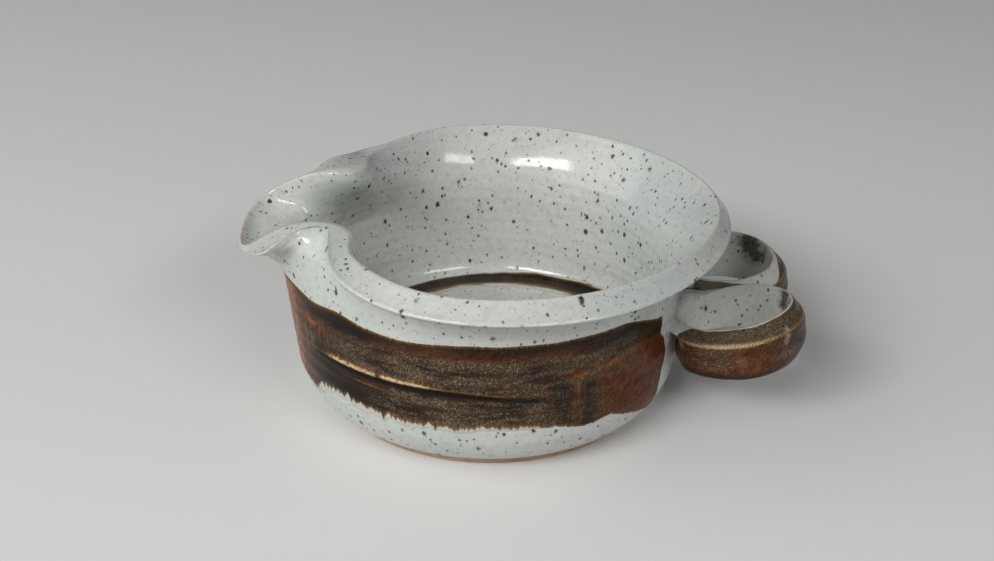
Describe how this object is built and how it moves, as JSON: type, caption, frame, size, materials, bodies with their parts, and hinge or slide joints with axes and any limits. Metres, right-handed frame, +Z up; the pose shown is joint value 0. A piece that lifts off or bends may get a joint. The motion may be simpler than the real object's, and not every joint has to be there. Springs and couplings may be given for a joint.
{
  "type": "pouring bowl",
  "caption": "Thrown stoneware pouring bowl with a flared collar rim, a pulled spout and paired finger loops, in speckled pale glaze with a brown glaze band.",
  "frame": {"origin": "centre of the flat foot, on the surface that the bowl stands on", "axes": "+Z up along the throwing axis, -X towards the spout, +X towards the finger loops, +Y to the rear loop"},
  "size_m": [0.1937, 0.1596, 0.0724],
  "materials": {
    "pale_glaze": "glossy pale grey-white stoneware glaze with iron speckles, bare tan clay at the foot",
    "brown_band": "satin dark brown iron glaze breaking to rust and amber at its edges",
    "brown_ring": "glossy dark brown iron glaze with an amber edge",
    "loop_pale": "glossy pale grey-white stoneware glaze with iron speckles",
    "loop_brown": "satin rust-brown iron glaze with gold flecks along the ridge",
    "joint_clay": "worked clay under the pale glaze"
  },
  "bodies": {
    "root": {"bowl_body": "pale_glaze", "wall_band_glaze": "brown_band", "floor_ring_glaze": "brown_ring", "front_loop": "loop_pale", "front_loop_glaze": "loop_brown", "front_loop_outer_joint": "joint_clay", "front_loop_inner_joint": "joint_clay", "rear_loop": "loop_pale", "rear_loop_glaze": "loop_brown", "rear_loop_outer_joint": "joint_clay", "rear_loop_inner_joint": "joint_clay"}
  },
  "joints": []
}
